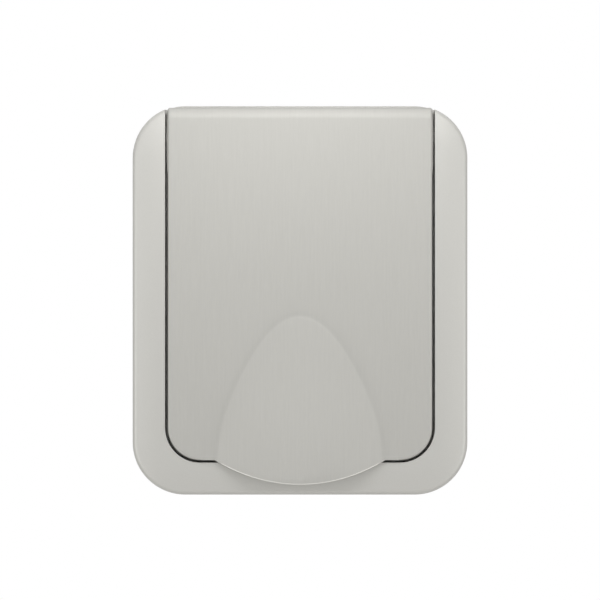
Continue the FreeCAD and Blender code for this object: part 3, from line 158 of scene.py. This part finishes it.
# Support ring: a square ring of galvanised sheet steel, punched, that the box screws hold.
# Zinc gives it a dull grey with faint crystal patches and a fine scatter of scuffs.

def cells(size):
    """Texture scale that makes cells of a size in millimetres."""
    return 1 / (size * MM)


def dress(node, material):
    """Gives a CAD node one material."""
    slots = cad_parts[node].data.materials
    slots.clear()
    slots.append(material)


ZINC_CRYSTAL = 3.846
ZINC_SCUFF = 1.111
zinc, tree = blank_material("galvanised sheet steel")
place = add_node(tree, "ShaderNodeTexCoord")
spangle = add_node(
    tree, "ShaderNodeTexVoronoi", {"Scale": cells(ZINC_CRYSTAL)}, {"Vector": (place, "Object")}
)
patch = add_node(
    tree, "ShaderNodeMix", {"data_type": "RGBA", 6: linear("#b5b8ba"), 7: linear("#9da1a4")},
    {0: (spangle, "Color")},
)
scuff = add_node(
    tree, "ShaderNodeTexNoise", {"Scale": cells(ZINC_SCUFF), "Detail": 4.0},
    {"Vector": (place, "Object")},
)
rough = add_node(
    tree, "ShaderNodeMapRange", {"To Min": 0.36, "To Max": 0.58}, {"Value": (scuff, "Fac")}
)
shader = add_node(
    tree, "ShaderNodeBsdfPrincipled", {"Metallic": 1.0},
    {"Base Color": (patch, 2), "Roughness": (rough, "Result")},
)
add_node(tree, "ShaderNodeOutputMaterial", links={"Surface": (shader, "BSDF")})
dress("support_ring", zinc)


# Contact base: one thermoset moulding that carries the contacts, riveted to the ring. It is
# matt and off-white, with the faint mottling that urea mouldings have.

MOULD_CLOUD = 11.11
SKIN_SPREAD = 0.05


def moulded(name, colour, shade, roughness, grain, depth):
    """A moulded plastic: two close tones in soft clouds and an eroded, finely grained skin."""
    material, tree = blank_material(name)
    place = add_node(tree, "ShaderNodeTexCoord")
    cloud = add_node(
        tree, "ShaderNodeTexNoise", {"Scale": cells(MOULD_CLOUD), "Detail": 3.0},
        {"Vector": (place, "Object")},
    )
    tone = add_node(
        tree, "ShaderNodeMix", {"data_type": "RGBA", 6: linear(colour), 7: linear(shade)},
        {0: (cloud, "Fac")},
    )
    skin = add_node(
        tree, "ShaderNodeTexNoise", {"Scale": cells(grain), "Detail": 2.0},
        {"Vector": (place, "Object")},
    )
    bump = add_node(tree, "ShaderNodeBump", {"Distance": depth * MM}, {"Height": (skin, "Fac")})
    rough = add_node(
        tree, "ShaderNodeMapRange",
        {"To Min": roughness - SKIN_SPREAD, "To Max": roughness + SKIN_SPREAD},
        {"Value": (skin, "Fac")},
    )
    shader = add_node(
        tree, "ShaderNodeBsdfPrincipled", {"IOR": 1.5},
        {"Base Color": (tone, 2), "Roughness": (rough, "Result"), "Normal": (bump, "Normal")},
    )
    add_node(tree, "ShaderNodeOutputMaterial", links={"Surface": (shader, "BSDF")})
    return material


dress("contact_base", moulded("urea moulding", "#d9d6cc", "#d2cec3", 0.55, 0.45, 0.006))


# Rear cover: a plain lid moulded of dark grey plastic and pressed on behind the contact
# chambers. Its skin is grained a little deeper than the base's, as it never shows in use.

dress("rear_cover", moulded("dark grey moulding", "#4a4b4d", "#444547", 0.5, 0.4, 0.008))


# Contacts, clamps and rivets: stamped and milled brass, barrel finished. Handling has dulled
# it in patches, so its gloss is uneven.

def plain_metal(name, colour, shade, low, high, patch):
    """A bare metal with a cloudy tone and uneven gloss, in patches of a size in millimetres."""
    material, tree = blank_material(name)
    place = add_node(tree, "ShaderNodeTexCoord")
    cloud = add_node(
        tree, "ShaderNodeTexNoise", {"Scale": cells(patch), "Detail": 5.0},
        {"Vector": (place, "Object")},
    )
    tone = add_node(
        tree, "ShaderNodeMix", {"data_type": "RGBA", 6: linear(colour), 7: linear(shade)},
        {0: (cloud, "Fac")},
    )
    rough = add_node(
        tree, "ShaderNodeMapRange", {"To Min": low, "To Max": high}, {"Value": (cloud, "Fac")}
    )
    shader = add_node(
        tree, "ShaderNodeBsdfPrincipled", {"Metallic": 1.0},
        {"Base Color": (tone, 2), "Roughness": (rough, "Result")},
    )
    add_node(tree, "ShaderNodeOutputMaterial", links={"Surface": (shader, "BSDF")})
    return material


brass = plain_metal("tumbled brass", "#cfab63", "#b8924e", 0.24, 0.42, 2.381)
for node in (
    "line_contact", "neutral_contact", "line_clamp", "neutral_clamp", "earth_clamp", "base_rivets"
):
    dress(node, brass)


# Earth strap and screws: tinned spring bronze, bent from strip, and zinc-plated steel screws.
# Both coatings are bright but soft, with a pale, slightly blurred shine.

dress("earth_strap", plain_metal("tinned bronze", "#c9c7bd", "#b3b0a5", 0.22, 0.38, 2.632))
plated = plain_metal("zinc-plated steel", "#c3c6ca", "#a9adb3", 0.22, 0.40, 1.429)
dress("terminal_screws", plated)
dress("centre_screw", plated)


# Centre plate: the moulded insert with the plug recess, held by the centre screw. It is
# coloured right through in the grey of the frame, with a fine satin skin.

dress("centre_plate", moulded("satin grey moulding", "#c4c2bc", "#bfbdb6", 0.42, 0.35, 0.004))


# Shutter and the plate that holds it: white slippery plastic from a polished mould, smooth
# and faintly waxy. Both sit on the boss behind the floor of the recess.

acetal = moulded("white acetal", "#e4e2dc", "#dfdcd5", 0.3, 0.6, 0.002)
dress("shutter", acetal)
dress("shutter_cover", acetal)


# Seals: black rubber rings, one under the centre plate and one set in the lid. They are dull
# and slightly grained.

rubber = moulded("black rubber", "#262627", "#2d2d2e", 0.72, 0.3, 0.01)
dress("plate_seal", rubber)
dress("lid_seal", rubber)


# Wall gasket: closed-cell foam, cut from sheet and pressed between the frame and the wall.
# It is matt black, with open pores on its cut edges.

FOAM_PORE = 0.3846
PORE_DEPTH = 0.05
foam, tree = blank_material("closed-cell foam")
place = add_node(tree, "ShaderNodeTexCoord")
pores = add_node(
    tree, "ShaderNodeTexVoronoi", {"Scale": cells(FOAM_PORE)}, {"Vector": (place, "Object")}
)
tone = add_node(
    tree, "ShaderNodeMix", {"data_type": "RGBA", 6: linear("#1d1d1f"), 7: linear("#343436")},
    {0: (pores, "Distance")},
)
bump = add_node(tree, "ShaderNodeBump", {"Distance": PORE_DEPTH * MM}, {"Height": (pores, "Distance")})
shader = add_node(
    tree, "ShaderNodeBsdfPrincipled", {"Roughness": 0.95, "IOR": 1.5},
    {"Base Color": (tone, 2), "Normal": (bump, "Normal")},
)
add_node(tree, "ShaderNodeOutputMaterial", links={"Surface": (shader, "BSDF")})
dress("wall_gasket", foam)


# Cover frame: injection moulded and sprayed with a satin silver-grey lacquer. The lacquer has
# a fine sparkle, drawn coarser than its real flakes so that it shows, and lies a little
# uneven, so wide highlights have a soft edge.

SAME_POINT = 0.002
SHARP_FROM = 25


def smooth_copy(node, edge_filter=None, radius=0.0):
    """A copy of a CAD node, shaded smooth up to the sharp angle.

    Edges that worn() picks are rounded, and their faces take the second material.
    """
    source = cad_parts[node]
    mesh = bmesh.new()
    mesh.from_mesh(source.data)
    bmesh.ops.remove_doubles(mesh, verts=mesh.verts, dist=SAME_POINT * MM)
    sharp = math.radians(SHARP_FROM)
    if edge_filter:
        picked = [
            edge for edge in mesh.edges
            if edge.calc_face_angle(0) > sharp and edge_filter(edge.verts[0].co, edge.verts[1].co)
        ]
        bmesh.ops.bevel(
            mesh, geom=picked, offset=radius * MM, segments=2, profile=0.5, affect="EDGES", material=1
        )
    for face in mesh.faces:
        face.smooth = True
    for edge in mesh.edges:
        edge.smooth = edge.calc_face_angle(0) <= sharp
    data = bpy.data.meshes.new(f"{node}_surface")
    mesh.to_mesh(data)
    mesh.free()
    piece = bpy.data.objects.new(f"{node}_surface", data)
    bpy.context.collection.objects.link(piece)
    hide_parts(node)
    return piece


LACQUER_FLAKE = 0.1923
LACQUER_WAVE = 1.429
WAVE_DEPTH = 0.002
lacquer, tree = blank_material("satin silver lacquer")
place = add_node(tree, "ShaderNodeTexCoord")
flake = add_node(
    tree, "ShaderNodeTexNoise", {"Scale": cells(LACQUER_FLAKE), "Detail": 2.0},
    {"Vector": (place, "Object")},
)
tone = add_node(
    tree, "ShaderNodeMix", {"data_type": "RGBA", 6: linear("#c9c8c3"), 7: linear("#d2d1cc")},
    {0: (flake, "Fac")},
)
wave = add_node(
    tree, "ShaderNodeTexNoise", {"Scale": cells(LACQUER_WAVE), "Detail": 1.0},
    {"Vector": (place, "Object")},
)
bump = add_node(tree, "ShaderNodeBump", {"Distance": WAVE_DEPTH * MM}, {"Height": (wave, "Fac")})
shader = add_node(
    tree, "ShaderNodeBsdfPrincipled",
    {"Metallic": 0.25, "Roughness": 0.42, "Specular IOR Level": 0.4},
    {"Base Color": (tone, 2), "Normal": (bump, "Normal")},
)
add_node(tree, "ShaderNodeOutputMaterial", links={"Surface": (shader, "BSDF")})
cover = smooth_copy("cover_frame")
cover.data.materials.append(lacquer)
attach(cover, "socket")


# Lid: moulded like the frame, with a metallic finish brushed from top to bottom. Its fine
# strokes are drawn a fifth of a millimetre wide, as finer ones wouldn't show. Broader and
# longer ones lie among them, and all are barely darker than the rest.

FINE_STROKE = (0.1923, 2.381)
BROAD_STROKE = (0.4762, 11.11)
STROKE_DEPTH = 0.001
brushed, tree = blank_material("vertically brushed lacquer")
place = add_node(tree, "ShaderNodeTexCoord")
stretched = []
for width, length in (FINE_STROKE, BROAD_STROKE):
    stretched.append(add_node(
        tree, "ShaderNodeMapping", {"Scale": (cells(width), 0.0, cells(length))},
        {"Vector": (place, "Object")},
    ))
fine = add_node(
    tree, "ShaderNodeTexNoise", {"Scale": 1.0, "Detail": 3.0}, {"Vector": (stretched[0], "Vector")}
)
broad = add_node(
    tree, "ShaderNodeTexNoise", {"Scale": 1.0, "Detail": 2.0}, {"Vector": (stretched[1], "Vector")}
)
both = add_node(
    tree, "ShaderNodeMath", {"operation": "ADD"}, {0: (fine, "Fac"), 1: (broad, "Fac")}
)
spread = add_node(
    tree, "ShaderNodeMapRange", {"From Min": 0.6, "From Max": 1.4}, {"Value": (both, 0)}
)
tone = add_node(
    tree, "ShaderNodeMix", {"data_type": "RGBA", 6: linear("#bab9b4"), 7: linear("#bfbeb9")},
    {0: (spread, "Result")},
)
rough = add_node(
    tree, "ShaderNodeMapRange", {"To Min": 0.58, "To Max": 0.62}, {"Value": (fine, "Fac")}
)

# The arch's foot: a shallow hollow, darkened a little with painted shade, and then a quick rise. Both
# follow from how far a point lies inside the arch's outline: the height of the ridge there, less
# the square of how far across the point is, divided by the slope.
ARCH_HALF = 21.3
ARCH_TOP, ARCH_BOTTOM = -3.97, -41.07
ARCH_RISE = 3.6
TOP_SLOPE = 0.118
RIDGE = ((0, 0), (0.3, 0.366), (0.6, 0.732), (0.8, 0.921), (1, 1))
FOOT_REACH = 5.0
FOOT_RISE = ((0, 0.5), (0.3, 0.49), (0.42, 0.42), (0.485, 0.45), (0.59, 0.80), (0.7, 0.93), (1, 1))
FOOT_PAINTED_SHADE = ((0, 0), (0.2, 0.12), (0.38, 0.6), (0.46, 1), (0.52, 0.3), (0.6, 0), (1, 0))
FOOT_HEIGHT = 0.2
spot = add_node(tree, "ShaderNodeSeparateXYZ", links={"Vector": (place, "Object")})
down = add_node(
    tree, "ShaderNodeMapRange",
    {"clamp": False, "From Min": ARCH_TOP * MM, "From Max": ARCH_BOTTOM * MM},
    {"Value": (spot, "Z")},
)
ridge = add_node(tree, "ShaderNodeFloatCurve", links={"Value": (down, "Result")})
across = add_node(
    tree, "ShaderNodeMath", {"operation": "MULTIPLY", 1: 1 / (ARCH_HALF * MM)}, {0: (spot, "X")}
)
squared = add_node(
    tree, "ShaderNodeMath", {"operation": "MULTIPLY"}, {0: (across, 0), 1: (across, 0)}
)
height = add_node(
    tree, "ShaderNodeMath", {"operation": "SUBTRACT"}, {0: (ridge, "Value"), 1: (squared, 0)}
)
side_slope = add_node(
    tree, "ShaderNodeMath", {"operation": "MULTIPLY", 1: 2 * ARCH_RISE / ARCH_HALF},
    {0: (across, 0)},
)
slopes = add_node(tree, "ShaderNodeCombineXYZ", {"Y": TOP_SLOPE}, {"X": (side_slope, 0)})
slope = add_node(
    tree, "ShaderNodeVectorMath", {"operation": "LENGTH"}, {0: (slopes, "Vector")}
)
distance = add_node(
    tree, "ShaderNodeMath", {"operation": "DIVIDE"}, {0: (height, 0), 1: (slope, "Value")}
)
inside = add_node(
    tree, "ShaderNodeMapRange",
    {"From Min": -FOOT_REACH / ARCH_RISE, "From Max": FOOT_REACH / ARCH_RISE},
    {"Value": (distance, 0)},
)
foot = add_node(tree, "ShaderNodeFloatCurve", links={"Value": (inside, "Result")})
painted_shade_mask = add_node(tree, "ShaderNodeFloatCurve", links={"Value": (inside, "Result")})
for node, line in ((ridge, RIDGE), (foot, FOOT_RISE), (painted_shade_mask, FOOT_PAINTED_SHADE)):
    points = node.mapping.curves[0].points
    points[0].location = line[0]
    points[1].location = line[-1]
    for at, level in line[1:-1]:
        points.new(at, level)
    node.mapping.update()
# Painted shade: the base colour is darkened in a band along the outside of the arch's outline, at the
# dip of the foot.
shaded = add_node(
    tree, "ShaderNodeMix", {"data_type": "RGBA", "blend_type": "MULTIPLY", 7: linear("#f9f9f9")},
    {0: (painted_shade_mask, "Value"), 6: (tone, 2)},
)
foot_bump = add_node(
    tree, "ShaderNodeBump", {"Distance": FOOT_HEIGHT * MM}, {"Height": (foot, "Value")}
)
bump = add_node(
    tree, "ShaderNodeBump", {"Distance": STROKE_DEPTH * MM},
    {"Height": (fine, "Fac"), "Normal": (foot_bump, "Normal")},
)
shader = add_node(
    tree, "ShaderNodeBsdfPrincipled", {"Metallic": 0.4},
    {"Base Color": (shaded, 2), "Roughness": (rough, "Result"), "Normal": (bump, "Normal")},
)
add_node(tree, "ShaderNodeOutputMaterial", links={"Surface": (shader, "BSDF")})

# The edge of the tongue is glossier than the lid and lighter in colour: the lighter colour is a
# painted highlight.
FINGER_RUB = 2.0
painted_highlight_edge, tree = blank_material("edge with painted highlight")
place = add_node(tree, "ShaderNodeTexCoord")
rub = add_node(
    tree, "ShaderNodeTexNoise", {"Scale": cells(FINGER_RUB), "Detail": 2.0},
    {"Vector": (place, "Object")},
)
rough = add_node(
    tree, "ShaderNodeMapRange", {"To Min": 0.25, "To Max": 0.4}, {"Value": (rub, "Fac")}
)
shader = add_node(
    tree, "ShaderNodeBsdfPrincipled", {"Base Color": linear("#d6d5d0"), "Metallic": 0.8},
    {"Roughness": (rough, "Result")},
)
add_node(tree, "ShaderNodeOutputMaterial", links={"Surface": (shader, "BSDF")})
TONGUE_TOP = -41.3 * MM
TONGUE_FRONT = -16.2 * MM
ROUNDED_EDGE_RADIUS = 0.25


def on_tongue_edge(first, second):
    """True for an edge along the front of the finger tongue's rim."""
    return max(first.z, second.z) < TONGUE_TOP and max(first.y, second.y) < TONGUE_FRONT


# The tongue's rounded front edge takes the second material, whose lighter colour is a painted
# highlight.
lid = smooth_copy("lid", on_tongue_edge, ROUNDED_EDGE_RADIUS)
lid.data.materials.append(brushed)
lid.data.materials.append(painted_highlight_edge)
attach(lid, "lid")


# Hinge pin: drawn stainless steel, pushed through the lugs of the frame and the cheeks of the
# lid. It is bright, with a slightly uneven gloss from drawing.

dress("hinge_pin", plain_metal("drawn stainless steel", "#c8cacc", "#b6b8ba", 0.18, 0.30, 1.111))


# Lid springs: two torsion springs of round spring steel wire about the pin, beside the lugs.
# One leg hooks behind the lug, the other lies in the lid's top corner.
# The wire keeps the grey skin of its heat treatment.

HINGE = Vector((0, -10.9, 44.5))
WIRE = 0.25
COIL = 1.75
SPRING_START = 26.75
SPRING_PITCH = 0.62
SPRING_TURNS = 5
LEG_FROM, LEG_TO = -6.7, 75.1
TURNS = SPRING_TURNS + (LEG_TO - LEG_FROM) / 360
STEPS_PER_TURN = 24
STEPS = int(TURNS * STEPS_PER_TURN)
HOOK = 2.6
LUG_REST = (1.35, -3.5)
LID_REST = (-2.60, 2.50)
HOOK_BEND = 0.5
BEND_STEPS = 6
spring_wire = plain_metal("grey spring steel", "#8f9193", "#7c7e81", 0.28, 0.42, 0.6667)


def wire_piece(name, path, material, node):
    """Round wire along a path in millimetres, as a mesh that replaces a CAD node."""
    curve = bpy.data.curves.new(name, "CURVE")
    curve.dimensions = "3D"
    curve.bevel_depth = WIRE * MM
    curve.bevel_resolution = 3
    curve.use_fill_caps = True
    line = curve.splines.new("POLY")
    line.points.add(len(path) - 1)
    for point, place in zip(line.points, path):
        point.co = (*(place * MM), 1.0)
    line.use_smooth = True
    holder = bpy.data.objects.new(name, curve)
    piece = bpy.data.objects.new(name, bpy.data.meshes.new_from_object(holder))
    bpy.data.objects.remove(holder)
    bpy.context.collection.objects.link(piece)
    piece.data.materials.clear()
    piece.data.materials.append(material)
    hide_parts(node)
    return piece


def rounded_corner(before, corner, after):
    """Points of the small bend that joins two straight stretches of wire."""
    first = corner + (before - corner).normalized() * HOOK_BEND
    last = corner + (after - corner).normalized() * HOOK_BEND
    bend = []
    for step in range(BEND_STEPS + 1):
        share = step / BEND_STEPS
        bend.append(first * (1 - share) ** 2 + corner * 2 * share * (1 - share) + last * share**2)
    return bend


for side, word in ((1, "right"), (-1, "left")):
    coiled = []
    for step in range(STEPS + 1):
        share = step / STEPS
        angle = math.radians(LEG_FROM + 360 * TURNS * share)
        along = SPRING_START - SPRING_PITCH * TURNS * share
        coiled.append(Vector((along, COIL * math.cos(angle), COIL * math.sin(angle))))
    hook_end = Vector((SPRING_START + HOOK, *LUG_REST))
    hook_bend = Vector((SPRING_START, *LUG_REST))
    lid_leg = Vector((coiled[-1].x, *LID_REST))
    path = [hook_end, *rounded_corner(hook_end, hook_bend, coiled[0]), *coiled, lid_leg]
    mirrored = [HINGE + Vector((side * place.x, place.y, place.z)) for place in path]
    node = f"lid_spring_{word}"
    spring = wire_piece(f"{node}_wire", mirrored, spring_wire, node)
    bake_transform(spring)


# Shutter spring: a small return spring of the same kind of wire, thinner, round the boss that
# the shutter turns on.

dress("shutter_spring", spring_wire)
